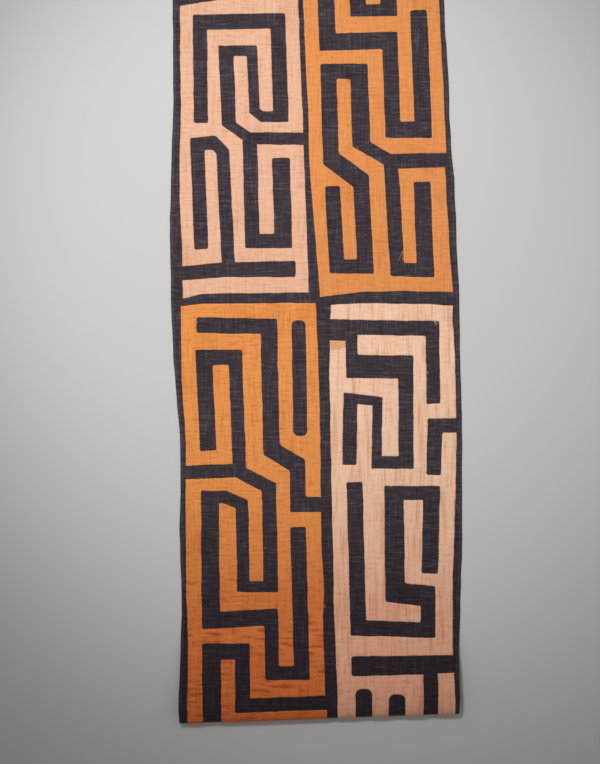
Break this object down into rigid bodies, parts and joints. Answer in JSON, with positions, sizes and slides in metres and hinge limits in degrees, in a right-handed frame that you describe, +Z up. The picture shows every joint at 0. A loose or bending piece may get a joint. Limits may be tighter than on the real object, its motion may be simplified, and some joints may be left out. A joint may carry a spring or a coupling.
{
  "type": "kuba raffia cloth",
  "caption": "Long flat raffia cloth with a dark ground, labyrinth applique panels in cream and orange, and one end turned under in a soft loop.",
  "frame": {"origin": "under the middle of the whole laid cloth, on the surface it rests on", "axes": "+Y along the cloth towards its upper end, +Z up from the cloth's face, +X across to the viewer's right when the face is seen"},
  "size_m": [0.5838, 1.6454, 0.0289],
  "materials": {
    "charcoal_raffia": "matte plain-woven raffia, dark charcoal grey with a faint purple cast",
    "cream_raffia": "matte plain-woven raffia, warm pinkish cream",
    "orange_raffia": "matte plain-woven raffia, warm orange"
  },
  "bodies": {
    "root": {"ground_cloth": "charcoal_raffia", "cream_upper": "cream_raffia", "orange_upper": "orange_raffia", "orange_lower": "orange_raffia", "cream_lower": "cream_raffia", "orange_top": "orange_raffia"}
  },
  "joints": []
}
